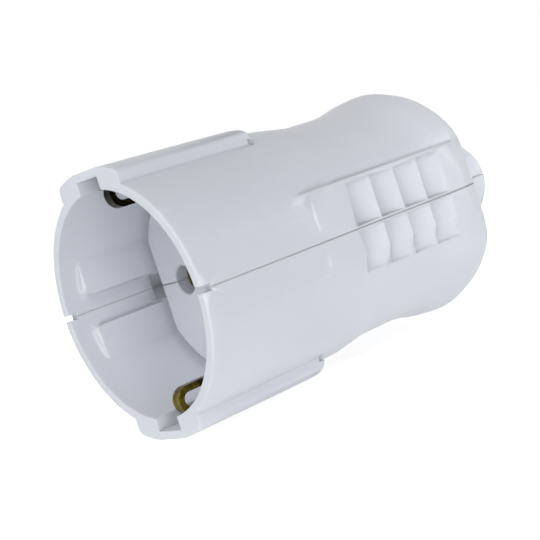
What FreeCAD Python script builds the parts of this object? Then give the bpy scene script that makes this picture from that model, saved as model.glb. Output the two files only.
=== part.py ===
import FreeCAD, Part
import math
import os

os.makedirs("parts", exist_ok=True)
V = FreeCAD.Vector

# Inline socket connector for earthed two-pin plugs (CEE 7/3 pattern), sizes in mm.
# It is modelled with X along its axis from the mouth and Z up from the parting plane,
# and set down at the end on its lower ridge with the middle of its length over the origin.

# Mouth, well and barrel
mouth_radius = 22.5        # outside of the rim
rim_wall = 1.9             # wall of the well at the rim
rim_bevel = 0.4            # outer rim edge
barrel_length = 36.0       # from the mouth to where the barrel runs in to the waist
barrel_draft = 0.3         # radius lost along the barrel
barrel_tail = 11.0         # length of the run-in
barrel_tail_draft = 1.6    # radius lost along the run-in
well_depth = 19.2
well_draft = 0.3           # radius lost down the well
floor_thickness = 3.0
pin_pitch = 19.0           # between the two pin holes
pin_hole_radius = 2.75
pin_hole_lead = 0.35       # countersink at the pin holes
rim_notch_width = 1.2      # notch in the rim at the parting line
rim_notch_depth = 1.8
floor_notch_width = 5.0    # openings in the floor between the guide pads
floor_notch_reach = 2.2
floor_border = 1.4         # width of the sunk border round the floor
floor_border_depth = 1.6

# Guide pads on the two sides of the well
pad_plane = 18.2           # flat face, from the axis
pad_front = 4.2            # from the mouth
pad_slot = 6.0             # between the upper and the lower pad
pad_round = 1.2            # front corners

# Ridges that hold the earth clips
ridge_rise = 1.7           # above the rim, at the mouth
ridge_fall = 0.8           # height lost towards the rear
ridge_width = 19.2
ridge_crown = 28.0         # radius of the crown across the ridge
ridge_crown_trim = 0.25    # taken off the top of that crown
ridge_foot_drop = 4.2      # from the crown down to the foot
ridge_length = 29.8
ridge_ramp = 3.4           # sloping rear end
ridge_ramp_bow = 0.9       # outward bow of that end
ridge_round = 1.6          # shoulders of the crown
ridge_roof = 1.5           # wall over the clip channel
relief_length = 1.3        # small pockets at the rear corners of the ridges
relief_width = 1.1
relief_depth = 0.9
channel_width = 6.8

# Grip
grip_front = 27.0
grip_front_drop = 0.5      # top of the grip below the barrel
grip_front_sink = 1.2      # depth at which the grip starts inside the barrel
waist_at = 54.0
waist_depth = 0.75         # half height lost from the front of the grip to the waist
bulge_rise = 1.8           # half height won from the waist to the bulge
roof_flatness = 3.1        # radius of the crowned top and bottom beyond the half width
shoulder_radius = 9.0
grip_wall = 2.2
body_end = 75.3
dome_length = 9.3          # from the bulge to the rear face
dome_flat = 6.0            # half height of the flat rear face
grip_steps = 3             # loft sections from the front to the waist and on to the bulge
dome_steps = 5             # loft sections round the rear end
chamber_rear_wall = 6.8    # from the wiring chamber to the rear face

# Flat finger panels on the two sides
panel_step = 0.8           # panel above the side of the grip
panel_half_height = 9.0
panel_front = 25.8
panel_lead = 1.9           # length and depth of the sloping front edge
panel_tail = 6.0           # length of the sloping rear end
panel_tail_drop = 3.7
panel_foot = 4.5           # height of the slope along the lower edge
panel_foot_drop = 2.0
panel_root = 5.7           # depth of the slab into the grip
panel_rear_inset = 10.5    # in front of the rear face
groove_count = 4
groove_pitch = 6.15
groove_start = 36.2
groove_length = 5.9        # from the step to the end of the ramp
groove_depth = 1.3
groove_step = 0.35         # lean of the step
groove_sag = 0.17          # hollow of the ramp
groove_land = 0.45         # from the parting line to the grooves
groove_margin = 0.8        # from the grooves to the edge of the panel

# Cable gland
gland_radius = 8.4
gland_length = 12.0
gland_bevel = 1.4          # radius lost over the rear edge
gland_bevel_length = 2.0
gland_flare = 0.7          # countersink where the cord comes out
cord_radius = 4.2

# Parting line
seam_gap = 0.24
seam_depth = 0.35

# Contacts of the two poles
sleeve_bore = 2.45
sleeve_wall = 0.9
sleeve_length = 14.0
sleeve_slit = 0.9
sleeve_slit_length = 11.0
terminal_length = 12.0
terminal_screw_inset = 4.6 # from the front of the block
terminal_width = 7.6
terminal_height = 8.4
wire_hole_radius = 1.7
wire_hole_depth = 9.0
spring_thickness = 0.6
spring_width = 3.0
spring_at = 2.0            # behind the floor
spring_opening = 70.0      # degrees
fit_clearance = 0.15

# Screws
terminal_screw_radius = 1.4
terminal_head_radius = 2.3
terminal_head_height = 1.7
slot_width = 0.7
slot_depth = 0.8
clamp_screw_radius = 1.45
clamp_head_radius = 2.7
clamp_head_height = 2.0
clamp_screw_length = 15.0
clamp_hole_depth = 12.0        # below the parting line
housing_screw_radius = 1.6
housing_head_radius = 3.0
housing_head_height = 2.2
housing_screw_inset = 7.3      # behind the front of the terminal blocks
housing_screw_reach = 11.0     # above the parting line
housing_hole_spare = 2.0       # hole beyond the tip of the screw
housing_seat = 14.0            # head seat below the parting line
head_clearance = 0.3           # around the head
thread_clearance = 0.1
boss_wall = 1.9

# Earth bracket and its terminal
strip_width = 2.0
bridge_width = 6.4         # middle of the strip, where the terminal is riveted
strip_thickness = 1.2
clip_front = 3.0           # from the mouth
clip_play = 1.3            # between the clip and the roof of its channel
clip_bend = 1.9            # middle radius of the bends
clip_length = 13.0
clip_tip = 2.5             # length of the turned-out tip
earth_block_length = 9.5
earth_block_height = 7.2
earth_block_web = 1.2      # in front of the wire hole
rivet_radius = 1.4

# Cord clamp
clamp_inset = 15.3         # in front of the rear face
clamp_width = 6.0
clamp_span = 24.0
clamp_height = 5.0
clamp_round = 1.0
clamp_screw_pitch = 17.0

# Ribs that cradle the contacts
rib_thickness = 2.0
rib_gap = 10.4             # free width in the middle
sleeve_rib_offset = 6.8     # behind the floor
terminal_rib_inset = 0.7   # from the rear of the terminal blocks
peg_radius = 1.3
peg_height = 2.0
peg_at = 16.0              # from the axis

# Sizes that follow from those above
length = body_end + gland_length
ridge_height = mouth_radius + ridge_rise
well_radius = mouth_radius - rim_wall
floor_radius = well_radius - well_draft
barrel_end_radius = mouth_radius - barrel_draft
panel_half_width = barrel_end_radius
grip_half_width = panel_half_width - panel_step
grip_front_height = barrel_end_radius - grip_front_drop
waist_height = grip_front_height - waist_depth
bulge_height = waist_height + bulge_rise
roof_radius = grip_half_width + roof_flatness
bulge_at = body_end - dome_length
chamber_end = body_end - chamber_rear_wall
panel_rear = body_end - panel_rear_inset
floor_back = well_depth + floor_thickness
pole_y = pin_pitch / 2
sleeve_radius = sleeve_bore + sleeve_wall
terminal_front = floor_back + sleeve_length
terminal_screw_x = terminal_front + terminal_screw_inset
sleeve_rib_at = floor_back + sleeve_rib_offset
terminal_rib_at = terminal_front + terminal_length - terminal_rib_inset - rib_thickness
housing_screw_at = terminal_front + housing_screw_inset
clamp_at = body_end - clamp_inset
earth_front = floor_back + strip_thickness
earth_screw_x = earth_front + earth_block_length / 2
channel_roof = ridge_height - ridge_roof
clip_outer = channel_roof - clip_play - strip_thickness / 2
clip_middle = clip_outer - 2 * clip_bend
clip_inner = clip_middle - strip_thickness / 2
far_away = 4 * length      # beyond every face, for cutting blocks
near = 0.01                # tolerance for picking edges


def block(x0, x1, y0, y1, z0, z1):
    return Part.makeBox(x1 - x0, y1 - y0, z1 - z0, V(x0, y0, z0))


def rod(radius, start, direction, reach):
    return Part.makeCylinder(radius, reach, start, direction)


def line(a, b):
    return Part.LineSegment(a, b).toShape()


def arc(a, middle, b):
    return Part.Arc(a, middle, b).toShape()


def plate(points, thickness):
    return Part.Face(Part.makePolygon(points + points[:1])).extrude(thickness)


def turned(points):
    return Part.Face(Part.makePolygon(points + points[:1])).revolve(V(0, 0, 0), V(1, 0, 0), 360)


def mirrored_y(shape):
    return shape.mirror(V(0, 0, 0), V(0, 1, 0))


def mirrored_z(shape):
    return shape.mirror(V(0, 0, 0), V(0, 0, 1))


def barrel():
    # Turned form of the front: bevelled rim, drafted wall and a run-in to the waist.
    tail_x = barrel_length + barrel_tail
    profile = [
        V(0, 0, 0),
        V(0, 0, mouth_radius - rim_bevel),
        V(rim_bevel, 0, mouth_radius),
        V(barrel_length, 0, barrel_end_radius),
        V(tail_x, 0, barrel_end_radius - barrel_tail_draft),
        V(tail_x, 0, 0),
    ]
    return turned(profile)


def grip_section(x, half_width, half_height, roof, shoulder):
    # Rounded square: flat sides, shoulder arcs and crowned top and bottom, all tangent.
    reach = roof - shoulder
    shoulder_y = half_width - shoulder
    turn = math.acos(shoulder_y / reach)
    shoulder_z = half_height - roof + reach * math.sin(turn)

    def on_shoulder(angle, sy, sz):
        y = shoulder_y + shoulder * math.cos(angle)
        z = shoulder_z + shoulder * math.sin(angle)
        return V(x, sy * y, sz * z)

    def corner(sy, sz):
        return arc(on_shoulder(0, sy, sz), on_shoulder(turn / 2, sy, sz), on_shoulder(turn, sy, sz))

    def crown(sz):
        return arc(on_shoulder(turn, 1, sz), V(x, 0, sz * half_height), on_shoulder(turn, -1, sz))

    def flank(sy):
        return line(V(x, sy * half_width, -shoulder_z), V(x, sy * half_width, shoulder_z))

    return Part.Wire([flank(1), corner(1, 1), crown(1), corner(-1, 1),
                      flank(-1), corner(-1, -1), crown(-1), corner(1, -1)])


def eased(start, end, share):
    # Soft step from one value to another.
    return start + (end - start) * (1 - math.cos(math.pi * share)) / 2


def dome_places():
    # Quarter ellipse from the bulge round to the flat rear face, as x and half height.
    reach = body_end - bulge_at
    fall = bulge_height - dome_flat
    angles = [math.radians(90 * step / dome_steps) for step in range(dome_steps + 1)]
    return [(bulge_at + reach * math.sin(angle), dome_flat + fall * math.cos(angle))
            for angle in angles]


def grip_form():
    # Lofted body of the grip: waisted above and below, then bulging, then rounded off.
    places = []
    for step in range(grip_steps):
        share = step / grip_steps
        sink = grip_front_sink * (1 - share) ** 2
        places.append((grip_front + share * (waist_at - grip_front), sink,
                       eased(grip_front_height, waist_height, share) - sink))
    for step in range(grip_steps):
        share = step / grip_steps
        places.append((waist_at + share * (bulge_at - waist_at), 0,
                       eased(waist_height, bulge_height, share)))
    sections = [grip_section(x, grip_half_width - sink, height, roof_radius - sink, shoulder_radius)
                for x, sink, height in places]
    for x, height in dome_places():
        scale = height / bulge_height
        sections.append(grip_section(x, scale * grip_half_width, height,
                                     scale * roof_radius, scale * shoulder_radius))
    return Part.makeLoft(sections, True, True)


def groove(start, z0, z1):
    # One finger groove: a steep step, then a curved ramp back up to the panel.
    outside = -panel_half_width - groove_depth
    top = V(start, -panel_half_width, z0)
    bottom = V(start + groove_step, -panel_half_width + groove_depth, z0)
    ramp_end = V(start + groove_length, -panel_half_width, z0)
    ramp_middle = (bottom + ramp_end) * 0.5 + V(0, groove_sag, 0)
    edges = [
        line(top, bottom),
        arc(bottom, ramp_middle, ramp_end),
        line(ramp_end, V(ramp_end.x, outside, z0)),
        line(V(ramp_end.x, outside, z0), V(start, outside, z0)),
        line(V(start, outside, z0), top),
    ]
    return Part.Face(Part.Wire(edges)).extrude(V(0, 0, z1 - z0))


def panel():
    # Near side finger panel: a flat slab, ledged above and sloped off elsewhere, with its grooves.
    inner = -panel_half_width + panel_root
    face = -panel_half_width
    points = [
        V(panel_front, face + panel_lead, -panel_half_height),
        V(panel_front + panel_lead, face, -panel_half_height),
        V(panel_rear, face, -panel_half_height),
        V(panel_rear + panel_tail, face + panel_tail_drop, -panel_half_height),
        V(panel_rear + panel_tail, inner, -panel_half_height),
        V(panel_front, inner, -panel_half_height),
    ]
    slab = plate(points, V(0, 0, 2 * panel_half_height))
    foot = plate([
        V(panel_front, face, panel_foot - panel_half_height),
        V(panel_front, face + panel_foot_drop, -panel_half_height),
        V(panel_front, face - panel_foot_drop, -panel_half_height),
    ], V(panel_rear + panel_tail - panel_front, 0, 0))
    groove_end = panel_half_height - groove_margin
    cuts = []
    for number in range(groove_count):
        start = groove_start + number * groove_pitch
        cuts.append(groove(start, groove_land, groove_end))
        cuts.append(groove(start, -groove_end, -groove_land))
    return slab.cut(foot), cuts


def ridge():
    # Upper ridge: upright sides, a crown trimmed flat on top, a sloping rear end.
    half = ridge_width / 2
    apex = ridge_height + ridge_crown_trim
    edge_z = apex - ridge_crown + math.sqrt(ridge_crown ** 2 - half ** 2)
    foot_z = ridge_height - ridge_foot_drop
    root = foot_z - ridge_foot_drop
    across = Part.Face(Part.Wire([
        line(V(0, -half, root), V(0, -half, edge_z)),
        arc(V(0, -half, edge_z), V(0, 0, apex), V(0, half, edge_z)),
        line(V(0, half, edge_z), V(0, half, root)),
        line(V(0, half, root), V(0, -half, root)),
    ])).extrude(V(ridge_length, 0, 0))
    shoulders = [edge for edge in across.Edges
                 if abs(edge.CenterOfMass.z - edge_z) < near
                 and abs(abs(edge.CenterOfMass.y) - half) < near]
    across = across.makeFillet(ridge_round, shoulders)
    rear_z = ridge_height - ridge_fall
    start = V(ridge_length - ridge_ramp, -half, rear_z)
    end = V(ridge_length, -half, foot_z)
    outward = V(rear_z - foot_z, 0, ridge_ramp).normalize()
    middle = (start + end) * 0.5 + outward * ridge_ramp_bow
    along = Part.Face(Part.Wire([
        line(V(0, -half, root), V(0, -half, ridge_height)),
        line(V(0, -half, ridge_height), start),
        arc(start, middle, end),
        line(end, V(ridge_length, -half, root)),
        line(V(ridge_length, -half, root), V(0, -half, root)),
    ])).extrude(V(0, ridge_width, 0))
    return across.common(along)


def ridge_reliefs():
    # Small pockets at the rear corners of both ridges, where their sides meet the barrel.
    half = ridge_width / 2
    foot_z = ridge_height - ridge_foot_drop
    pockets = []
    for side in (-1, 1):
        for level in (-1, 1):
            ys = sorted((side * (half - relief_width / 2), side * (half + relief_width / 2)))
            zs = sorted((level * (foot_z - relief_depth), level * (foot_z + relief_depth)))
            pockets.append(block(ridge_length - relief_length, ridge_length, ys[0], ys[1], zs[0], zs[1]))
    return pockets


def gland():
    # Bevelled boss at the rear that the cord comes out of.
    return turned([
        V(body_end - grip_wall, 0, 0),
        V(body_end - grip_wall, 0, gland_radius),
        V(length - gland_bevel_length, 0, gland_radius),
        V(length, 0, gland_radius - gland_bevel),
        V(length, 0, 0),
    ])


def outer_form():
    # Whole outside of the housing before it is parted and hollowed.
    slab, cuts = panel()
    far_cuts = [mirrored_y(cut) for cut in cuts]
    top_ridge = ridge()
    whole = barrel().fuse([grip_form(), slab, mirrored_y(slab), top_ridge, mirrored_z(top_ridge), gland()])
    return whole.cut(cuts + far_cuts + ridge_reliefs())


def sleeve_bulkhead():
    # Cross wall with round seats for the two contact sleeves and a free middle.
    x = sleeve_rib_at
    wall = block(x, x + rib_thickness, -far_away, far_away, -far_away, far_away)
    seats = [rod(sleeve_radius + fit_clearance, V(x, side * pole_y, 0), V(1, 0, 0), rib_thickness)
             for side in (-1, 1)]
    middle = block(x, x + rib_thickness, -rib_gap / 2, rib_gap / 2, -far_away, far_away)
    return wall.cut(seats + [middle])


def terminal_bulkhead():
    # Cross wall with square seats for the two terminal blocks.
    x = terminal_rib_at
    half_width = terminal_width / 2 + fit_clearance
    half_height = terminal_height / 2 + fit_clearance
    wall = block(x, x + rib_thickness, -far_away, far_away, -far_away, far_away)
    seats = [block(x, x + rib_thickness, side * pole_y - half_width, side * pole_y + half_width,
                   -half_height, half_height) for side in (-1, 1)]
    middle = block(x, x + rib_thickness, -rib_gap / 2, rib_gap / 2, -far_away, far_away)
    return wall.cut(seats + [middle])


def clamp_seat():
    # Saddle under the cord with a boss at each end for the clamp screws.
    boss_radius = clamp_screw_radius + boss_wall
    drop = bulge_height
    bosses = [rod(boss_radius, V(clamp_at, side * clamp_screw_pitch / 2, -drop), V(0, 0, 1), drop)
              for side in (-1, 1)]
    half = clamp_screw_pitch / 2
    saddle = block(clamp_at - rib_thickness / 2, clamp_at + rib_thickness / 2, -half, half, -drop, 0)
    passage = rod(cord_radius, V(clamp_at - clamp_width, 0, 0), V(1, 0, 0), 2 * clamp_width)
    holes = [rod(clamp_screw_radius + thread_clearance, V(clamp_at, side * half, 0),
                 V(0, 0, -1), clamp_hole_depth) for side in (-1, 1)]
    return bosses[0].fuse([bosses[1], saddle]).cut([passage] + holes)


def screw_boss(sign):
    # Half of the pillar that the housing screw passes through.
    radius = housing_screw_radius + boss_wall
    return rod(radius, V(housing_screw_at, 0, 0), V(0, 0, sign), bulge_height)


def chamber(ribs):
    # Hollow behind the floor, with the ribs left standing in it.
    sections = [grip_section(x, grip_half_width - grip_wall, waist_height - grip_wall,
                             roof_radius - grip_wall, shoulder_radius - grip_wall)
                for x in (floor_back, chamber_end)]
    return Part.makeLoft(sections, True, True).cut(ribs)


def well():
    # Socket well with its guide pads left standing on both sides.
    bore = Part.makeCone(well_radius, floor_radius, well_depth, V(0, 0, 0), V(1, 0, 0))
    pads = []
    for side in (-1, 1):
        for level in (-1, 1):
            ys = sorted((side * pad_plane, side * mouth_radius))
            zs = sorted((level * pad_slot / 2, level * mouth_radius))
            pad = block(pad_front, well_depth, ys[0], ys[1], zs[0], zs[1])
            edges = [edge for edge in pad.Edges
                     if abs(edge.CenterOfMass.x - pad_front) < near
                     and abs(edge.CenterOfMass.z - level * pad_slot / 2) < near]
            pads.append(pad.makeFillet(pad_round, edges))
    return bore.cut(pads)


def floor_sink():
    # Sunk border round the floor, following the wall of the well and the guide pads.
    start = V(well_depth, 0, 0)
    back = well_depth + floor_border_depth
    inner_plane = pad_plane - floor_border
    outer = rod(floor_radius, start, V(1, 0, 0), floor_border_depth)
    outer = outer.common(block(well_depth, back, -pad_plane, pad_plane, -far_away, far_away))
    inner = rod(floor_radius - floor_border, start, V(1, 0, 0), floor_border_depth)
    inner = inner.common(block(well_depth, back, -inner_plane, inner_plane, -far_away, far_away))
    return outer.cut(inner)


def front_cuts():
    # Pin holes, clip channels, the border of the floor and the notches at the parting line.
    cuts = []
    for side in (-1, 1):
        hole_start = V(well_depth - pin_hole_lead, side * pole_y, 0)
        cuts.append(rod(pin_hole_radius, hole_start, V(1, 0, 0), floor_thickness + 2 * pin_hole_lead))
        cuts.append(Part.makeCone(pin_hole_radius + 2 * pin_hole_lead, pin_hole_radius,
                                  2 * pin_hole_lead, hole_start, V(1, 0, 0)))
        zs = sorted((side * (clip_inner - strip_thickness), side * channel_roof))
        cuts.append(block(-rim_wall, floor_back + 2 * strip_thickness, -channel_width / 2,
                          channel_width / 2, zs[0], zs[1]))
        ys = sorted((side * pad_plane, side * far_away))
        cuts.append(block(-rim_wall, rim_notch_depth, ys[0], ys[1],
                          -rim_notch_width / 2, rim_notch_width / 2))
        ys = sorted((side * pad_plane, side * (pad_plane + floor_notch_reach)))
        cuts.append(block(well_depth, floor_back, ys[0], ys[1],
                          -floor_notch_width / 2, floor_notch_width / 2))
    cuts.append(block(well_depth, well_depth + seam_depth, -floor_radius, floor_radius,
                      -seam_gap / 2, seam_gap / 2))
    return cuts + [floor_sink()]


def seam_groove():
    # Fine groove along the parting line, open to the outside.
    sheet = block(-seam_depth, length + seam_depth, -far_away, far_away, -seam_gap / 2, seam_gap / 2)
    gland_side = gland_radius - seam_depth
    outline = [
        V(-seam_depth, mouth_radius - seam_depth, 0), V(barrel_length, barrel_end_radius - seam_depth, 0),
        V(panel_rear, panel_half_width - seam_depth, 0),
    ]
    for x, height in dome_places():
        if panel_rear < x < body_end - seam_depth:
            outline.append(V(x, grip_half_width * height / bulge_height - seam_depth, 0))
    outline += [
        V(body_end - seam_depth, gland_side, 0), V(length - gland_bevel_length, gland_side, 0),
        V(length + seam_depth, cord_radius, 0),
    ]
    mirror_side = [V(point.x, -point.y, 0) for point in reversed(outline)]
    core = plate(outline + mirror_side, V(0, 0, seam_gap))
    core.translate(V(0, 0, -seam_gap / 2))
    return sheet.cut(core)


def gland_passage():
    # Bore for the cord, flared at the rear.
    bore = rod(cord_radius, V(chamber_end, 0, 0), V(1, 0, 0), far_away)
    flare = Part.makeCone(cord_radius, cord_radius + gland_flare, gland_flare,
                          V(length - gland_flare, 0, 0), V(1, 0, 0))
    return [bore, flare]


def peg_places():
    middle = sleeve_rib_at + rib_thickness / 2
    return [V(middle, side * peg_at, 0) for side in (-1, 1)]


def shells():
    whole = outer_form()
    common_cuts = [well(), seam_groove()] + front_cuts() + gland_passage()
    ribs = [sleeve_bulkhead(), terminal_bulkhead()]
    upper_space = block(-far_away, far_away, -far_away, far_away, 0, far_away)
    lower_space = block(-far_away, far_away, -far_away, far_away, -far_away, 0)
    hole_radius = housing_screw_radius + thread_clearance
    place = V(housing_screw_at, 0, 0)

    upper_cuts = [rod(hole_radius, place, V(0, 0, 1), housing_screw_reach + housing_hole_spare)]
    upper_cuts += [rod(peg_radius + fit_clearance, spot, V(0, 0, 1), peg_height + fit_clearance)
                   for spot in peg_places()]
    upper_hollow = chamber(ribs + [screw_boss(1)]).common(upper_space)
    upper = whole.common(upper_space).cut(common_cuts + [upper_hollow] + upper_cuts)

    head_room = rod(housing_head_radius + head_clearance, V(housing_screw_at, 0, -housing_seat),
                    V(0, 0, -1), far_away)
    lower_cuts = [rod(hole_radius, place, V(0, 0, -1), far_away), head_room]
    lower_hollow = chamber(ribs + [screw_boss(-1), clamp_seat()]).common(lower_space)
    lower = whole.common(lower_space).cut(common_cuts + [lower_hollow] + lower_cuts)
    pegs = [rod(peg_radius, spot - V(0, 0, peg_height), V(0, 0, 1), 2 * peg_height)
            for spot in peg_places()]
    return upper, lower.fuse(pegs).removeSplitter()


def pole_contact(side):
    # Slit sleeve that grips a pin, with its terminal block behind.
    y = side * pole_y
    sleeve = rod(sleeve_radius, V(floor_back, y, 0), V(1, 0, 0), sleeve_length)
    body = block(terminal_front, terminal_front + terminal_length, y - terminal_width / 2,
                 y + terminal_width / 2, -terminal_height / 2, terminal_height / 2)
    bore = rod(sleeve_bore, V(floor_back, y, 0), V(1, 0, 0), sleeve_length)
    slit = block(floor_back, floor_back + sleeve_slit_length, y - sleeve_slit / 2,
                 y + sleeve_slit / 2, 0, sleeve_radius)
    rear = terminal_front + terminal_length
    wire_hole = rod(wire_hole_radius, V(rear - wire_hole_depth, y, 0), V(1, 0, 0), wire_hole_depth)
    screw_hole = rod(terminal_screw_radius + thread_clearance, V(terminal_screw_x, y, 0),
                     V(0, 0, 1), terminal_height)
    return sleeve.fuse(body).cut([bore, slit, wire_hole, screw_hole])


def contact_spring(side):
    # Open spring ring that keeps the slit sleeve closed.
    y = side * pole_y
    x = floor_back + spring_at
    inner = sleeve_radius + fit_clearance
    outer = inner + spring_thickness
    ring = rod(outer, V(x, y, 0), V(1, 0, 0), spring_width)
    hole = rod(inner, V(x, y, 0), V(1, 0, 0), spring_width)
    half_angle = math.radians(spring_opening / 2)
    reach = 2 * outer
    wedge = plate([V(x, y, 0), V(x, y - reach * math.sin(half_angle), -reach * math.cos(half_angle)),
                   V(x, y + reach * math.sin(half_angle), -reach * math.cos(half_angle))],
                  V(spring_width, 0, 0))
    return ring.cut([hole, wedge])


def slotted_screw(place, radius, tip, head_radius, head_height):
    # Cheese-head screw pointing down, its head seated on the given place.
    head = rod(head_radius, place, V(0, 0, 1), head_height)
    shank = rod(radius, place, V(0, 0, -1), tip)
    slot = block(place.x - head_radius, place.x + head_radius, place.y - slot_width / 2,
                 place.y + slot_width / 2, place.z + head_height - slot_depth,
                 place.z + head_height + slot_depth)
    return head.fuse(shank).cut(slot)


def terminal_screws():
    tip = terminal_height / 2 - wire_hole_radius
    poles = [slotted_screw(V(terminal_screw_x, side * pole_y, terminal_height / 2),
                           terminal_screw_radius, tip, terminal_head_radius, terminal_head_height)
             for side in (-1, 1)]
    earth = slotted_screw(V(earth_screw_x, 0, earth_block_height / 2), terminal_screw_radius,
                          earth_block_height / 2 - wire_hole_radius, terminal_head_radius,
                          terminal_head_height)
    return Part.makeCompound(poles + [earth])


def bent_strip(points, bend, thickness, width):
    # Strip of sheet bent along a line of points in the XZ plane, centred on Y.
    half = thickness / 2
    near_side = []
    far_side = []

    def offset_line(a, b):
        run = (b - a).normalize()
        side = V(-run.z, 0, run.x) * half
        return run, side

    cursor = points[0]
    for index in range(1, len(points)):
        corner = points[index]
        run, side = offset_line(cursor, corner)
        if index == len(points) - 1:
            near_side.append(line(cursor + side, corner + side))
            far_side.append(line(cursor - side, corner - side))
            break
        next_run, next_side = offset_line(corner, points[index + 1])
        angle = run.getAngle(next_run)
        setback = bend * math.tan(angle / 2)
        start = corner - run * setback
        end = corner + next_run * setback
        turn = 1 if run.cross(next_run).y < 0 else -1
        centre = start + side * (turn * bend / half)
        inward = (centre - corner).normalize()
        if (start - cursor).Length > 0.001:
            near_side.append(line(cursor + side, start + side))
            far_side.append(line(cursor - side, start - side))
        near_middle = centre - inward * (bend - turn * half)
        far_middle = centre - inward * (bend + turn * half)
        near_side.append(arc(start + side, near_middle, end + next_side))
        far_side.append(arc(start - side, far_middle, end - next_side))
        cursor = end
    run, side = offset_line(points[0], points[1])
    start_cap = line(points[0] - side, points[0] + side)
    run, side = offset_line(points[-2], points[-1])
    end_cap = line(points[-1] + side, points[-1] - side)
    edges = Part.__sortEdges__([start_cap] + near_side + [end_cap] + far_side)
    face = Part.Face(Part.Wire(edges))
    face.translate(V(0, -width / 2, 0))
    return face.extrude(V(0, width, 0))


def earth_bracket():
    # One bent strip: a bridge behind the floor and a sprung clip at the top and the bottom.
    front = clip_front + strip_thickness / 2
    bridge_x = floor_back + strip_thickness / 2
    upper = [
        V(clip_front + clip_length + clip_tip, 0, clip_middle + clip_tip / 2),
        V(clip_front + clip_length, 0, clip_middle),
        V(front, 0, clip_middle),
        V(front, 0, clip_outer),
        V(bridge_x, 0, clip_outer),
    ]
    lower = [V(point.x, 0, -point.z) for point in reversed(upper)]
    strip = bent_strip(upper + lower, clip_bend, strip_thickness, strip_width)
    bridge_reach = clip_inner - strip_thickness
    strip = strip.fuse(block(floor_back, earth_front, -bridge_width / 2, bridge_width / 2,
                             -bridge_reach, bridge_reach)).removeSplitter()
    rivet_hole = rod(rivet_radius + thread_clearance, V(floor_back, 0, 0), V(1, 0, 0), strip_thickness)
    return strip.cut(rivet_hole)


def earth_terminal():
    # Terminal block riveted to the middle of the bridge.
    body = block(earth_front, earth_front + earth_block_length, -bridge_width / 2,
                 bridge_width / 2, -earth_block_height / 2, earth_block_height / 2)
    rivet = rod(rivet_radius, V(floor_back, 0, 0), V(1, 0, 0), strip_thickness)
    rear = earth_front + earth_block_length
    depth = earth_block_length - earth_block_web
    wire_hole = rod(wire_hole_radius, V(rear - depth, 0, 0), V(1, 0, 0), depth)
    screw_hole = rod(terminal_screw_radius + thread_clearance, V(earth_screw_x, 0, 0), V(0, 0, 1),
                     earth_block_height)
    return body.fuse(rivet).cut([wire_hole, screw_hole])


def cord_clamp_bar():
    half = clamp_width / 2
    bar = block(clamp_at - half, clamp_at + half, -clamp_span / 2, clamp_span / 2, 0, clamp_height)
    long_edges = [edge for edge in bar.Edges
                  if edge.CenterOfMass.z > clamp_height - near]
    bar = bar.makeFillet(clamp_round, long_edges)
    passage = rod(cord_radius, V(clamp_at - half, 0, 0), V(1, 0, 0), clamp_width)
    holes = [rod(clamp_screw_radius + thread_clearance, V(clamp_at, side * clamp_screw_pitch / 2, 0),
                 V(0, 0, 1), clamp_height) for side in (-1, 1)]
    return bar.cut([passage] + holes)


def cord_clamp_screws():
    screws = [slotted_screw(V(clamp_at, side * clamp_screw_pitch / 2, clamp_height),
                            clamp_screw_radius, clamp_screw_length, clamp_head_radius,
                            clamp_head_height) for side in (-1, 1)]
    return Part.makeCompound(screws)


def housing_screw():
    # Long screw up through the lower shell, driven from below.
    tip = housing_seat + housing_screw_reach
    screw = slotted_screw(V(housing_screw_at, 0, housing_seat), housing_screw_radius, tip,
                          housing_head_radius, housing_head_height)
    return mirrored_z(screw)


def save(node, shape):
    placed = shape.copy()
    placed.translate(V(-length / 2, 0, ridge_height))
    placed.exportStep("parts/" + node + ".step")


upper_shell, lower_shell = shells()
save("upper_shell", upper_shell)
save("lower_shell", lower_shell)
save("line_contact", pole_contact(-1))
save("neutral_contact", pole_contact(1))
save("line_contact_spring", contact_spring(-1))
save("neutral_contact_spring", contact_spring(1))
save("terminal_screws", terminal_screws())
save("earth_bracket", earth_bracket())
save("earth_terminal", earth_terminal())
save("cord_clamp_bar", cord_clamp_bar())
save("cord_clamp_screws", cord_clamp_screws())
save("housing_screw", housing_screw())
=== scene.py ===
import bpy
import bmesh
import math
from mathutils import Matrix, Vector


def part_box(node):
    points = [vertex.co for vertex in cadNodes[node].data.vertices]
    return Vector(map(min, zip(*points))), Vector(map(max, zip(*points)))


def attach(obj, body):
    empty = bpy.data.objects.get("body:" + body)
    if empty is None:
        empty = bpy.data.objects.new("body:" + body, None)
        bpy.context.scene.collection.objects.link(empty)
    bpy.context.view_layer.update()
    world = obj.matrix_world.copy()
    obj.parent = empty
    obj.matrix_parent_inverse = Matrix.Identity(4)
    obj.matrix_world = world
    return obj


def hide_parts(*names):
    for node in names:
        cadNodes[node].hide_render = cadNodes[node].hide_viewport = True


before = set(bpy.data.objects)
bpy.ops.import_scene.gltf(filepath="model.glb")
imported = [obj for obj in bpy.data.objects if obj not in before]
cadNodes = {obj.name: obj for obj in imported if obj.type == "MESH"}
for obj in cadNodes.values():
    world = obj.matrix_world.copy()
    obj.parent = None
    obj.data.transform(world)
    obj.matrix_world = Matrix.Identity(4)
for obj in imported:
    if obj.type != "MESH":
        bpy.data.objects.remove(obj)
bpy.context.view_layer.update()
scene = bpy.context.scene
scene.view_settings.view_transform = "Standard"
mm = 0.001
partingHeight = 24.2  # mm, where the two shells meet


# camera, fitted to the well's rim and the pin spacing
cameraSetup = {
    "azimuth": -39.043,  # degrees
    "elevation": 3.589,
    "roll": -18.098,
    "lookAt": (-5.65, 0.0, partingHeight),  # mm
    "distance": 262.06,
    "lens": 92.69,
    "shiftX": -0.0358,
    "shiftY": -0.0474,
}


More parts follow.
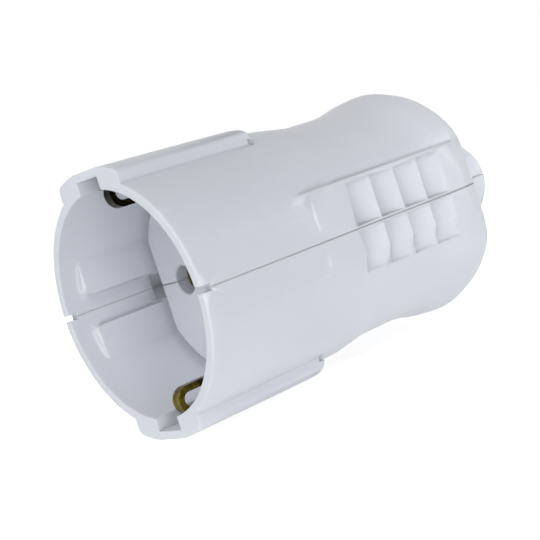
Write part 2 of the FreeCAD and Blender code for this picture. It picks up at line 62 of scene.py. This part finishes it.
def placeCamera(setup):
    azimuth = math.radians(setup["azimuth"])
    elevation = math.radians(setup["elevation"])
    roll = math.radians(setup["roll"])
    back = Vector((math.sin(azimuth) * math.cos(elevation),
                   -math.cos(azimuth) * math.cos(elevation), math.sin(elevation)))
    level = Vector((math.cos(azimuth), math.sin(azimuth), 0))
    rise = back.cross(level)
    right = level * math.cos(roll) + rise * math.sin(roll)
    up = rise * math.cos(roll) - level * math.sin(roll)
    data = bpy.data.cameras.new("photoCamera")
    data.lens = setup["lens"]
    data.sensor_width = 36
    data.shift_x = setup["shiftX"]
    data.shift_y = setup["shiftY"]
    data.clip_start = 0.01
    data.clip_end = 20
    camera = bpy.data.objects.new("photoCamera", data)
    scene.collection.objects.link(camera)
    place = (Vector(setup["lookAt"]) + back * setup["distance"]) * mm
    camera.matrix_world = Matrix.Translation(place) @ Matrix((right, up, back)).transposed().to_4x4()
    scene.camera = camera


placeCamera(cameraSetup)
print("camera placed")


# light: an even white tent, soft lamps on the mouth side and a light table that shines through the floor
lightSetup = {
    "tentColour": (0.90, 0.94, 1.0),
    "tentStrength": 0.25,
    "aim": (0, 0, 0.024),  # metres
    "lamps": {  # metres and watts
        "mouthTop": {"place": (-0.64, 0.0, 0.66), "size": (0.45, 0.45), "power": 2.0},
        "nearTop": {"place": (-0.50, -0.50, 0.55), "size": (0.45, 0.45), "power": 1.5},
        "mouthGraze": {"place": (-0.78, -0.42, 0.0), "size": (0.30, 0.30), "power": 0.8},
        "nearLevel": {"place": (-0.35, -0.85, -0.17), "size": (0.30, 0.30), "power": 2.2},
        "tableMouth": {"place": (-0.70, -0.30, -0.22), "size": (0.35, 0.35), "power": 0.8},
        "tableRear": {"place": (0.25, -0.60, -0.32), "size": (0.45, 0.45), "power": 0.4},
        "tableDeep": {"place": (0.0, -0.40, -0.55), "size": (0.45, 0.45), "power": 0.9},
        "farFill": {"place": (0.15, 0.95, 0.08), "size": (0.45, 0.45), "power": 2.0},
        "glandFill": {"place": (0.10, -0.09, 0.06), "aim": (0.038, 0, 0.026), "size": (0.05, 0.05),
                      "power": 0.006, "spread": 60},
    },
}


def linkNodes(tree, *pairs):
    for source, target in pairs:
        tree.links.new(source, target)


def addNode(tree, kind, **inputs):
    node = tree.nodes.new(kind)
    for key, value in inputs.items():
        node.inputs[key.replace("_", " ")].default_value = value
    return node


def whiteToCamera(tree):
    # 1 where the camera looks straight at it or sees it mirrored or through something clear
    path = addNode(tree, "ShaderNodeLightPath")
    first = addNode(tree, "ShaderNodeMath")
    first.operation = "MAXIMUM"
    second = addNode(tree, "ShaderNodeMath")
    second.operation = "MAXIMUM"
    linkNodes(tree, (path.outputs["Is Camera Ray"], first.inputs[0]),
              (path.outputs["Is Glossy Ray"], first.inputs[1]),
              (first.outputs[0], second.inputs[0]),
              (path.outputs["Is Transmission Ray"], second.inputs[1]))
    return second.outputs[0]


def lightStudio(setup):
    world = bpy.data.worlds.new("whiteTent")
    world.use_nodes = True
    scene.world = world
    tree = world.node_tree
    tree.nodes.clear()
    tent = addNode(tree, "ShaderNodeBackground", Color=(*setup["tentColour"], 1), Strength=setup["tentStrength"])
    white = addNode(tree, "ShaderNodeBackground", Color=(1, 1, 1, 1), Strength=1.0)
    mix = addNode(tree, "ShaderNodeMixShader")
    out = addNode(tree, "ShaderNodeOutputWorld")
    linkNodes(tree, (whiteToCamera(tree), mix.inputs[0]), (tent.outputs[0], mix.inputs[1]),
              (white.outputs[0], mix.inputs[2]), (mix.outputs[0], out.inputs[0]))
    for name, lamp in setup["lamps"].items():
        data = bpy.data.lights.new(name, "AREA")
        data.shape = "RECTANGLE"
        data.size, data.size_y = lamp["size"]
        data.energy = lamp["power"]
        data.spread = math.radians(lamp.get("spread", 180))
        light = bpy.data.objects.new(name, data)
        scene.collection.objects.link(light)
        place = Vector(lamp["place"])
        light.location = place
        aim = Vector(lamp.get("aim", setup["aim"]))
        light.rotation_euler = (place - aim).to_track_quat("Z", "Y").to_euler()
        light.visible_camera = False


lightStudio(lightSetup)


floorSetup = {
    "size": 4.0,  # metres
    "colour": (0.9, 0.9, 0.9),
    "lit": 0.35,
    "glow": 0.86,
    "fade": (0.05, 0.20),  # metres
}


def layFloor(setup):
    half = setup["size"] / 2
    mesh = bpy.data.meshes.new("floor")
    mesh.from_pydata([(-half, -half, 0), (half, -half, 0), (half, half, 0), (-half, half, 0)], [], [(0, 1, 2, 3)])
    floor = bpy.data.objects.new("floor", mesh)
    scene.collection.objects.link(floor)
    material = bpy.data.materials.new("paleFloor")
    material.use_nodes = True
    tree = material.node_tree
    tree.nodes.clear()
    plain = addNode(tree, "ShaderNodeBsdfDiffuse", Color=(*setup["colour"], 1))
    dimmed = addNode(tree, "ShaderNodeBsdfDiffuse", Color=(*[setup["lit"]] * 3, 1))
    glow = addNode(tree, "ShaderNodeEmission")
    coord = addNode(tree, "ShaderNodeTexCoord")
    away = addNode(tree, "ShaderNodeVectorMath")
    away.operation = "LENGTH"
    fade = addNode(tree, "ShaderNodeMapRange", From_Min=setup["fade"][0], From_Max=setup["fade"][1],
                   To_Min=setup["glow"])  # pure white away from the object
    linkNodes(tree, (coord.outputs["Object"], away.inputs[0]), (away.outputs["Value"], fade.inputs["Value"]),
              (fade.outputs[0], glow.inputs["Strength"]))
    both = addNode(tree, "ShaderNodeAddShader")
    mix = addNode(tree, "ShaderNodeMixShader")
    out = addNode(tree, "ShaderNodeOutputMaterial")
    linkNodes(tree, (dimmed.outputs[0], both.inputs[0]), (glow.outputs[0], both.inputs[1]),
              (whiteToCamera(tree), mix.inputs[0]), (plain.outputs[0], mix.inputs[1]),
              (both.outputs[0], mix.inputs[2]), (mix.outputs[0], out.inputs[0]))
    mesh.materials.append(material)
    floor.visible_shadow = False  # lets the table lamps through


layFloor(floorSetup)
print("light and floor set")


# node groups that several finishes share
def newGroup(name, inputs, outputs):
    group = bpy.data.node_groups.new(name, "ShaderNodeTree")
    for label, kind, value in inputs:
        socket = group.interface.new_socket(name=label, in_out="INPUT", socket_type=kind)
        socket.default_value = value
    for label, kind in outputs:
        group.interface.new_socket(name=label, in_out="OUTPUT", socket_type=kind)
    return group, group.nodes.new("NodeGroupInput"), group.nodes.new("NodeGroupOutput")


def mottleGroup():
    # slow cloudy change and a fine grain, both from the object's own coordinates
    group, source, target = newGroup(
        "mouldMottle",
        [("Cloud Size", "NodeSocketFloat", 90.0), ("Grain Size", "NodeSocketFloat", 1800.0),
         ("Offset", "NodeSocketFloat", 0.0)],
        [("Cloud", "NodeSocketFloat"), ("Grain", "NodeSocketFloat")])
    coord = addNode(group, "ShaderNodeTexCoord")
    shift = addNode(group, "ShaderNodeVectorMath")
    shift.operation = "ADD"
    cloud = addNode(group, "ShaderNodeTexNoise", Detail=3.0, Roughness=0.55)
    grain = addNode(group, "ShaderNodeTexNoise", Detail=2.0, Roughness=0.6)
    linkNodes(group, (coord.outputs["Object"], shift.inputs[0]), (source.outputs["Offset"], shift.inputs[1]),
              (shift.outputs[0], cloud.inputs["Vector"]), (shift.outputs[0], grain.inputs["Vector"]),
              (source.outputs["Cloud Size"], cloud.inputs["Scale"]),
              (source.outputs["Grain Size"], grain.inputs["Scale"]),
              (cloud.outputs[0], target.inputs["Cloud"]), (grain.outputs[0], target.inputs["Grain"]))
    return group


mouldMottle = mottleGroup()


def rangeNode(tree, source, low, high):
    node = addNode(tree, "ShaderNodeMapRange", From_Min=0.3, From_Max=0.7, To_Min=low, To_Max=high)
    linkNodes(tree, (source, node.inputs["Value"]))
    return node.outputs[0]


def startMaterial(name):
    material = bpy.data.materials.new(name)
    material.use_nodes = True
    tree = material.node_tree
    return material, tree, tree.nodes["Principled BSDF"]


def blendColour(tree, factor, first, second):
    mix = addNode(tree, "ShaderNodeMix")
    mix.data_type = "RGBA"
    mix.inputs[6].default_value = (*first, 1)
    mix.inputs[7].default_value = (*second, 1)
    linkNodes(tree, (factor, mix.inputs[0]))
    return mix.outputs[2]


def mottledFinish(name, setup, second):
    material, tree, shader = startMaterial(name)
    mottle = addNode(tree, "ShaderNodeGroup")
    mottle.node_tree = mouldMottle
    mottle.inputs["Cloud Size"].default_value = setup["cloudSize"]
    mottle.inputs["Grain Size"].default_value = setup["grainSize"]
    mottle.inputs["Offset"].default_value = setup["offset"]
    cloud = rangeNode(tree, mottle.outputs["Cloud"], 0.0, 1.0)
    colour = blendColour(tree, cloud, setup["colour"], second)
    rough = rangeNode(tree, mottle.outputs["Grain"], *setup["roughness"])
    soft = addNode(tree, "ShaderNodeBevel", Radius=setup["edge"] * mm)
    bump = addNode(tree, "ShaderNodeBump", Strength=setup["bump"], Distance=0.1 * mm)
    linkNodes(tree, (colour, shader.inputs["Base Color"]), (rough, shader.inputs["Roughness"]),
              (soft.outputs[0], bump.inputs["Normal"]), (mottle.outputs["Grain"], bump.inputs["Height"]),
              (bump.outputs[0], shader.inputs["Normal"]))
    return material, shader


def plasticFinish(name, setup):
    material, shader = mottledFinish(name, setup, setup["shade"])
    shader.inputs["Subsurface Weight"].default_value = setup["glowThrough"]
    shader.inputs["Subsurface Radius"].default_value = (1, 1, 1)
    shader.inputs["Subsurface Scale"].default_value = setup["glowDepth"] * mm
    return material


def metalFinish(name, setup):
    material, shader = mottledFinish(name, setup, setup["patchColour"])
    shader.inputs["Metallic"].default_value = 1.0
    return material


whitePlastic = plasticFinish("satinWhitePlastic", {
    "colour": (0.71, 0.725, 0.775),
    "shade": (0.69, 0.705, 0.755),
    "roughness": (0.34, 0.44),
    "cloudSize": 70.0,
    "grainSize": 1500.0,
    "offset": 0.0,
    "bump": 0.05,
    "edge": 0.35,  # mm
    "glowThrough": 0.6,
    "glowDepth": 0.6,  # mm
})
clampPlastic = plasticFinish("greyClampPlastic", {
    "colour": (0.62, 0.63, 0.65),
    "shade": (0.57, 0.58, 0.60),
    "roughness": (0.45, 0.58),
    "cloudSize": 120.0,
    "grainSize": 1200.0,
    "offset": 3.0,
    "bump": 0.12,
    "edge": 0.3,
    "glowThrough": 0.0,
    "glowDepth": 0.6,
})


def paintDarkReflectionUpwards(material, setup):
    # painted dark reflection: the base colour darkens towards the top, so the upper clip shows far darker than the
    # lower one
    tree = material.node_tree
    target = tree.nodes["Principled BSDF"].inputs["Base Color"]
    unshadedColour = target.links[0].from_socket
    coord = addNode(tree, "ShaderNodeTexCoord")
    axes = addNode(tree, "ShaderNodeSeparateXYZ")
    rise = addNode(tree, "ShaderNodeMapRange", From_Min=setup["from"] * mm, From_Max=setup["to"] * mm,
                   To_Max=setup["amount"])
    mix = addNode(tree, "ShaderNodeMix")
    mix.data_type = "RGBA"
    mix.inputs[7].default_value = (*setup["colour"], 1)
    linkNodes(tree, (coord.outputs["Object"], axes.inputs[0]), (axes.outputs["Z"], rise.inputs["Value"]),
              (rise.outputs[0], mix.inputs[0]), (unshadedColour, mix.inputs[6]), (mix.outputs[2], target))


# earth brass: partly tarnish, partly painted dark reflection, carried by a dark base colour and near-black patches
earthBrass = metalFinish("brassTarnishAndPaintedReflection", {
    "colour": (0.34, 0.27, 0.035),
    "patchColour": (0.035, 0.024, 0.008),
    "roughness": (0.22, 0.36),
    "cloudSize": 330.0,
    "grainSize": 2200.0,
    "offset": 1.0,
    "bump": 0.10,
    "edge": 0.2,
})
# painted dark reflection, nearly black, on the upper earth clip
paintDarkReflectionUpwards(earthBrass, {"from": 12.0, "to": 38.0, "amount": 0.96, "colour": (0.006, 0.005, 0.003)})
contactBrass = metalFinish("contactBrass", {
    "colour": (0.30, 0.22, 0.08),
    "patchColour": (0.16, 0.11, 0.04),
    "roughness": (0.28, 0.42),
    "cloudSize": 220.0,
    "grainSize": 2200.0,
    "offset": 5.0,
    "bump": 0.10,
    "edge": 0.15,
})
springSteel = metalFinish("springSteel", {
    "colour": (0.45, 0.46, 0.48),
    "patchColour": (0.36, 0.37, 0.39),
    "roughness": (0.22, 0.36),
    "cloudSize": 260.0,
    "grainSize": 2600.0,
    "offset": 2.0,
    "bump": 0.08,
    "edge": 0.12,
})
zincSteel = metalFinish("zincPlatedSteel", {
    "colour": (0.60, 0.61, 0.63),
    "patchColour": (0.50, 0.51, 0.52),
    "roughness": (0.24, 0.40),
    "cloudSize": 240.0,
    "grainSize": 2400.0,
    "offset": 4.0,
    "bump": 0.08,
    "edge": 0.12,
})
print("finishes made")


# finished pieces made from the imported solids: merged, flattened into whole faces, shaded smooth
finishSetup = {
    "merge": 0.002,  # mm
    "flat": 0.5,  # degrees
    "smooth": 34.0,
}


# the finger grooves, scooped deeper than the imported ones, the lower row over the panel's sloping foot
grooveSetup = {  # mm, heights from the parting line
    "count": 4, "pitch": 6.15, "first": -7.40,
    "length": 5.8, "depth": 1.9, "lean": 0.45, "hollow": 0.28,
    "panel": 22.2, "bend": -4.5, "fall": 0.3, "round": 3.2,
    "rows": {"lower": {"start": -0.52, "end": -8.05}, "upper": {"start": 0.52, "end": 8.12}},
    "proud": 0.8, "steps": 8, "merge": 0.01,
    "margin": 1.0, "inside": 18.5, "halfHeight": 9.0,  # keeps face merging away from the grooves
}


def grooveLevels(setup, row):
    # heights along one groove with the share of its depth there; it ends in a quarter round
    way = math.copysign(1, row["end"])
    levels = [(row["start"], 1.0), (way * abs(setup["bend"]), 1.0)]
    for step in range(setup["steps"] + 1):
        turn = math.radians(90) * step / setup["steps"]
        levels.append((row["end"] - way * setup["round"] * (1 - math.sin(turn)), math.cos(turn)))
    return levels


def grooveCutter(setup):
    steps = setup["steps"]
    work = bmesh.new()
    for row in setup["rows"].values():
        rings = []
        for height, share in grooveLevels(setup, row):
            face = max(0, setup["bend"] - height) * setup["fall"] - setup["panel"]
            bottom = setup["lean"] * share
            outline = [(-setup["lean"] * setup["proud"] / setup["depth"], face - setup["proud"])]
            for step in range(steps + 1):
                along = step / steps
                sink = setup["depth"] * (1 - along) + 4 * setup["hollow"] * along * (1 - along)
                outline.append((bottom + (setup["length"] - bottom) * along, face + sink * share))
            outline.append((setup["length"] + setup["proud"], face - setup["proud"]))
            rings.append([work.verts.new((x * mm, y * mm, (partingHeight + height) * mm)) for x, y in outline])
        for upper, lower in zip(rings, rings[1:]):
            for spot in range(len(upper)):
                work.faces.new((upper[spot], upper[spot - 1], lower[spot - 1], lower[spot]))
        work.faces.new(rings[0])
        work.faces.new(rings[-1])
    bmesh.ops.recalc_face_normals(work, faces=work.faces)
    mesh = bpy.data.meshes.new("grooveCutter")
    work.to_mesh(mesh)
    work.free()
    cutter = bpy.data.objects.new("grooveCutter", mesh)
    scene.collection.objects.link(cutter)
    return cutter


def grooveTree():
    tree = bpy.data.node_groups.new("gripGrooves", "GeometryNodeTree")
    for label, kind in (("Shell", "NodeSocketGeometry"), ("Cutter", "NodeSocketObject"), ("Count", "NodeSocketInt"),
                        ("Pitch", "NodeSocketFloat"), ("First", "NodeSocketFloat"), ("Finish", "NodeSocketMaterial")):
        tree.interface.new_socket(name=label, in_out="INPUT", socket_type=kind)
    tree.interface.new_socket(name="Grooved Shell", in_out="OUTPUT", socket_type="NodeSocketGeometry")
    given = tree.nodes.new("NodeGroupInput").outputs
    result = tree.nodes.new("NodeGroupOutput")
    cutter = addNode(tree, "GeometryNodeObjectInfo")
    start = addNode(tree, "ShaderNodeCombineXYZ")
    spacing = addNode(tree, "ShaderNodeCombineXYZ")
    row = addNode(tree, "GeometryNodeMeshLine")
    spread = addNode(tree, "GeometryNodeInstanceOnPoints")
    near = addNode(tree, "GeometryNodeRealizeInstances")
    far = addNode(tree, "GeometryNodeTransform", Scale=(1, -1, 1))
    outward = addNode(tree, "GeometryNodeFlipFaces")
    cut = addNode(tree, "GeometryNodeMeshBoolean")
    cut.operation = "DIFFERENCE"
    cut.solver = "EXACT"
    finish = addNode(tree, "GeometryNodeSetMaterial")
    linkNodes(tree, (given["Cutter"], cutter.inputs["Object"]), (given["Count"], row.inputs["Count"]),
              (given["First"], start.inputs["X"]), (start.outputs[0], row.inputs["Start Location"]),
              (given["Pitch"], spacing.inputs["X"]), (spacing.outputs[0], row.inputs["Offset"]),
              (row.outputs[0], spread.inputs["Points"]), (cutter.outputs["Geometry"], spread.inputs["Instance"]),
              (spread.outputs[0], near.inputs[0]), (near.outputs[0], far.inputs["Geometry"]),
              (far.outputs[0], outward.inputs[0]), (given["Shell"], cut.inputs["Mesh 1"]),
              (near.outputs[0], cut.inputs["Mesh 2"]), (outward.outputs[0], cut.inputs["Mesh 2"]),
              (cut.outputs[0], finish.inputs["Geometry"]), (given["Finish"], finish.inputs["Material"]),
              (finish.outputs[0], result.inputs[0]))
    return tree


def setInputs(modifier, tree, values):
    for socket in tree.interface.items_tree:
        if socket.name in values:
            modifier[socket.identifier] = values[socket.name]


def evaluatedMesh(holder):
    depsgraph = bpy.context.evaluated_depsgraph_get()
    return bpy.data.meshes.new_from_object(holder.evaluated_get(depsgraph))


def cutGrooves(work, setup):
    mesh = bpy.data.meshes.new("plainShell")
    work.to_mesh(mesh)
    holder = bpy.data.objects.new("plainShell", mesh)
    scene.collection.objects.link(holder)
    cutter = grooveCutter(setup)
    modifier = holder.modifiers.new("grooves", "NODES")
    modifier.node_group = grooveTree()
    setInputs(modifier, modifier.node_group, {
        "Cutter": cutter, "Count": setup["count"], "Pitch": setup["pitch"] * mm, "First": setup["first"] * mm,
        "Finish": whitePlastic})
    grooved = evaluatedMesh(holder)
    print("grooves cut", len(mesh.polygons), "to", len(grooved.polygons), "faces")
    work.clear()
    work.from_mesh(grooved)
    bmesh.ops.remove_doubles(work, verts=work.verts, dist=setup["merge"] * mm)
    bmesh.ops.triangulate(work, faces=[face for face in work.faces if len(face.verts) > 4])
    bpy.data.objects.remove(holder)
    bpy.data.objects.remove(cutter)


seamSetup = {  # mm, then cosines of the floor's facing
    "reach": 0.13, "touch": 0.01, "lift": 0.28,
    "upright": 0.1, "facing": 0.9,
}


def liftSeam(work, setup):
    # the seam's floor on the outer sides comes nearer to the surface, so that it shows as a pale line
    level = partingHeight * mm
    moves = {}
    for face in work.faces:
        gaps = [abs(vert.co.z - level) / mm for vert in face.verts]
        outward = face.normal.y * math.copysign(1, face.calc_center_median().y)
        onSeam = max(gaps) < setup["reach"] and min(gaps) < setup["touch"]
        if onSeam and abs(face.normal.z) < setup["upright"] and outward > setup["facing"]:
            for vert in face.verts:
                moves.setdefault(vert, Vector())
                moves[vert] += face.normal
    for vert, way in moves.items():
        vert.co += way.normalized() * setup["lift"] * mm
    print("seam lifted at", len(moves), "points")


def nearGrooves(place, setup):
    along = place.x / mm - setup["first"]
    return (-setup["margin"] < along < setup["count"] * setup["pitch"] + setup["margin"]
            and abs(place.y) / mm > setup["inside"]
            and abs(place.z / mm - partingHeight) < setup["halfHeight"])


def addPiece(name, node, work, mesh, evenShading):
    for face in work.faces:
        face.smooth = True
    work.to_mesh(mesh)
    work.free()
    mesh.set_sharp_from_angle(angle=math.radians(finishSetup["smooth"]))
    piece = bpy.data.objects.new(name, mesh)
    scene.collection.objects.link(piece)
    if evenShading:
        evened = piece.modifiers.new("evenShading", "WEIGHTED_NORMAL")
        evened.keep_sharp = True
    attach(piece, "root")
    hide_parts(node)
    print("finished", name, len(mesh.polygons), "faces")


def finishedCopy(name, node, material):
    mesh = cadNodes[node].data.copy()
    mesh.name = name
    mesh.materials.clear()
    mesh.materials.append(material)
    work = bmesh.new()
    work.from_mesh(mesh)
    bmesh.ops.remove_doubles(work, verts=work.verts, dist=finishSetup["merge"] * mm)
    if material == whitePlastic:
        liftSeam(work, seamSetup)
        cutGrooves(work, grooveSetup)
    plainVerts = [vert for vert in work.verts if not nearGrooves(vert.co, grooveSetup)]
    plainEdges = [edge for edge in work.edges if not any(nearGrooves(vert.co, grooveSetup) for vert in edge.verts)]
    bmesh.ops.dissolve_limit(work, angle_limit=math.radians(finishSetup["flat"]), use_dissolve_boundaries=False,
                             verts=plainVerts, edges=plainEdges)
    addPiece(name, node, work, mesh, True)


pieceSetup = {
    "upperShell": ("upper_shell", whitePlastic, "housing_plastic"),
    "lowerShell": ("lower_shell", whitePlastic, "housing_plastic"),
    "earthBracket": ("earth_bracket", earthBrass, "contact_brass"),
    "earthTerminal": ("earth_terminal", contactBrass, "contact_brass"),
    "lineContact": ("line_contact", contactBrass, "contact_brass"),
    "neutralContact": ("neutral_contact", contactBrass, "contact_brass"),
    "lineContactSpring": ("line_contact_spring", springSteel, "spring_steel"),
    "neutralContactSpring": ("neutral_contact_spring", springSteel, "spring_steel"),
    "cordClampBar": ("cord_clamp_bar", clampPlastic, "clamp_plastic"),
}
for name, (node, material, slot) in pieceSetup.items():
    finishedCopy(name, node, material)


# slotted screws: one tree sets a threaded screw at each point, pointing down before it is turned
def mathNode(tree, operation, first, second):
    node = addNode(tree, "ShaderNodeMath")
    node.operation = operation
    for socket, value in zip(node.inputs, (first, second)):
        if isinstance(value, (int, float)):
            socket.default_value = value
        else:
            linkNodes(tree, (value, socket))
    return node.outputs[0]


def lifted(tree, geometry, height):
    place = addNode(tree, "ShaderNodeCombineXYZ")
    move = addNode(tree, "GeometryNodeTransform")
    linkNodes(tree, (height, place.inputs["Z"]), (place.outputs[0], move.inputs["Translation"]),
              (geometry, move.inputs["Geometry"]))
    return move.outputs[0]


screwFacets = {"shank": 32, "head": 44, "threadTurn": 24, "threadRidge": 6}  # the slot's edges miss the head's corners


def screwTree():
    tree = bpy.data.node_groups.new("slottedScrews", "GeometryNodeTree")
    kinds = {"Points": "NodeSocketGeometry", "Crest": "NodeSocketFloat", "Thread Depth": "NodeSocketFloat",
             "Pitch": "NodeSocketFloat", "Reach": "NodeSocketFloat", "Head": "NodeSocketFloat",
             "Head Height": "NodeSocketFloat", "Slot Width": "NodeSocketFloat", "Slot Depth": "NodeSocketFloat",
             "Turn": "NodeSocketVector", "Finish": "NodeSocketMaterial"}
    for label, kind in kinds.items():
        tree.interface.new_socket(name=label, in_out="INPUT", socket_type=kind)
    tree.interface.new_socket(name="Screws", in_out="OUTPUT", socket_type="NodeSocketGeometry")
    given = tree.nodes.new("NodeGroupInput").outputs
    result = tree.nodes.new("NodeGroupOutput")

    core = mathNode(tree, "SUBTRACT", given["Crest"], given["Thread Depth"])
    shank = addNode(tree, "GeometryNodeMeshCylinder", Vertices=screwFacets["shank"])
    linkNodes(tree, (core, shank.inputs["Radius"]), (given["Reach"], shank.inputs["Depth"]))
    shankPlaced = lifted(tree, shank.outputs["Mesh"], mathNode(tree, "MULTIPLY", given["Reach"], -0.5))

    margin = mathNode(tree, "MULTIPLY", given["Thread Depth"], 2)
    threaded = mathNode(tree, "SUBTRACT", given["Reach"], margin)
    helix = addNode(tree, "GeometryNodeCurveSpiral", Resolution=screwFacets["threadTurn"])
    linkNodes(tree, (core, helix.inputs["Start Radius"]), (core, helix.inputs["End Radius"]),
              (threaded, helix.inputs["Height"]),
              (mathNode(tree, "DIVIDE", threaded, given["Pitch"]), helix.inputs["Rotations"]))
    ridge = addNode(tree, "GeometryNodeCurvePrimitiveCircle", Resolution=screwFacets["threadRidge"])
    thread = addNode(tree, "GeometryNodeCurveToMesh", Fill_Caps=True)
    linkNodes(tree, (given["Thread Depth"], ridge.inputs["Radius"]), (helix.outputs[0], thread.inputs["Curve"]),
              (ridge.outputs[0], thread.inputs["Profile Curve"]))
    depth = mathNode(tree, "SUBTRACT", given["Thread Depth"], given["Reach"])
    threadPlaced = lifted(tree, thread.outputs[0], depth)

    head = addNode(tree, "GeometryNodeMeshCylinder", Vertices=screwFacets["head"])
    linkNodes(tree, (given["Head"], head.inputs["Radius"]), (given["Head Height"], head.inputs["Depth"]))
    headPlaced = lifted(tree, head.outputs["Mesh"], mathNode(tree, "MULTIPLY", given["Head Height"], 0.5))
    size = addNode(tree, "ShaderNodeCombineXYZ")
    slot = addNode(tree, "GeometryNodeMeshCube")
    linkNodes(tree, (mathNode(tree, "MULTIPLY", given["Head"], 3), size.inputs["X"]),
              (given["Slot Width"], size.inputs["Y"]),
              (mathNode(tree, "MULTIPLY", given["Slot Depth"], 2), size.inputs["Z"]),
              (size.outputs[0], slot.inputs["Size"]))
    slotted = addNode(tree, "GeometryNodeMeshBoolean")
    slotted.operation = "DIFFERENCE"
    linkNodes(tree, (headPlaced, slotted.inputs["Mesh 1"]),
              (lifted(tree, slot.outputs["Mesh"], given["Head Height"]), slotted.inputs["Mesh 2"]))

    whole = addNode(tree, "GeometryNodeJoinGeometry")
    for part in (slotted.outputs[0], threadPlaced, shankPlaced):
        linkNodes(tree, (part, whole.inputs[0]))
    turn = addNode(tree, "FunctionNodeEulerToRotation")
    spread = addNode(tree, "GeometryNodeInstanceOnPoints")
    real = addNode(tree, "GeometryNodeRealizeInstances")
    finish = addNode(tree, "GeometryNodeSetMaterial")
    linkNodes(tree, (given["Points"], spread.inputs["Points"]), (whole.outputs[0], spread.inputs["Instance"]),
              (given["Turn"], turn.inputs[0]), (turn.outputs[0], spread.inputs["Rotation"]),
              (spread.outputs[0], real.inputs[0]), (real.outputs[0], finish.inputs["Geometry"]),
              (given["Finish"], finish.inputs["Material"]), (finish.outputs[0], result.inputs[0]))
    return tree


slottedScrews = screwTree()


def screwMesh(setup, points, reach, turn):
    # the screws of one length, seated at the given points
    mesh = bpy.data.meshes.new("screwSeats")
    mesh.from_pydata(points, [], [])
    seats = bpy.data.objects.new("screwSeats", mesh)
    scene.collection.objects.link(seats)
    modifier = seats.modifiers.new("screws", "NODES")
    modifier.node_group = slottedScrews
    values = {"Crest": setup["crest"] * mm, "Thread Depth": setup["threadDepth"] * mm, "Pitch": setup["pitch"] * mm,
              "Reach": reach, "Head": setup["head"] * mm, "Head Height": setup["headHeight"] * mm,
              "Slot Width": setup["slotWidth"] * mm, "Slot Depth": setup["slotDepth"] * mm,
              "Turn": (math.radians(turn), 0, 0), "Finish": zincSteel}
    setInputs(modifier, slottedScrews, values)
    made = evaluatedMesh(seats)
    bpy.data.objects.remove(seats)
    return made


def setScrews(name, node, setup, sets):
    work = bmesh.new()
    for points, reach, turn in sets:
        work.from_mesh(screwMesh(setup, points, reach, turn))
    mesh = bpy.data.meshes.new(name)
    mesh.materials.append(zincSteel)
    addPiece(name, node, work, mesh, False)


def middle(node):
    low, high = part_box(node)
    return (low + high) / 2


terminalScrewSetup = {  # mm
    "crest": 1.4, "threadDepth": 0.22, "pitch": 0.7, "head": 2.3, "headHeight": 1.7,
    "slotWidth": 0.7, "slotDepth": 0.8,
}
clampScrewSetup = {
    "crest": 1.45, "threadDepth": 0.25, "pitch": 1.1, "head": 2.7, "headHeight": 2.0,
    "slotWidth": 0.7, "slotDepth": 0.8,
}
housingScrewSetup = {
    "crest": 1.6, "threadDepth": 0.25, "pitch": 1.2, "head": 3.0, "headHeight": 2.2,
    "slotWidth": 0.7, "slotDepth": 0.8,
}

low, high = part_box("terminal_screws")
inset = terminalScrewSetup["head"] * mm
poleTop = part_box("line_contact")[1].z
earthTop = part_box("earth_terminal")[1].z
poleSeats = [(high.x - inset, middle(node).y, poleTop) for node in ("line_contact", "neutral_contact")]
earthSeats = [(low.x + inset, middle("earth_terminal").y, earthTop)]
setScrews("terminalScrews", "terminal_screws", terminalScrewSetup,
          [(poleSeats, poleTop - low.z, 0), (earthSeats, earthTop - low.z, 0)])

low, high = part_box("cord_clamp_screws")
inset = clampScrewSetup["head"] * mm
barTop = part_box("cord_clamp_bar")[1].z
clampSeats = [(middle("cord_clamp_screws").x, y, barTop) for y in (low.y + inset, high.y - inset)]
setScrews("cordClampScrews", "cord_clamp_screws", clampScrewSetup, [(clampSeats, barTop - low.z, 0)])

low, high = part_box("housing_screw")
seat = low.z + housingScrewSetup["headHeight"] * mm
centre = middle("housing_screw")
housingSeats = [(centre.x, centre.y, seat)]  # head down
setScrews("housingScrew", "housing_screw", housingScrewSetup, [(housingSeats, high.z - seat, 180)])
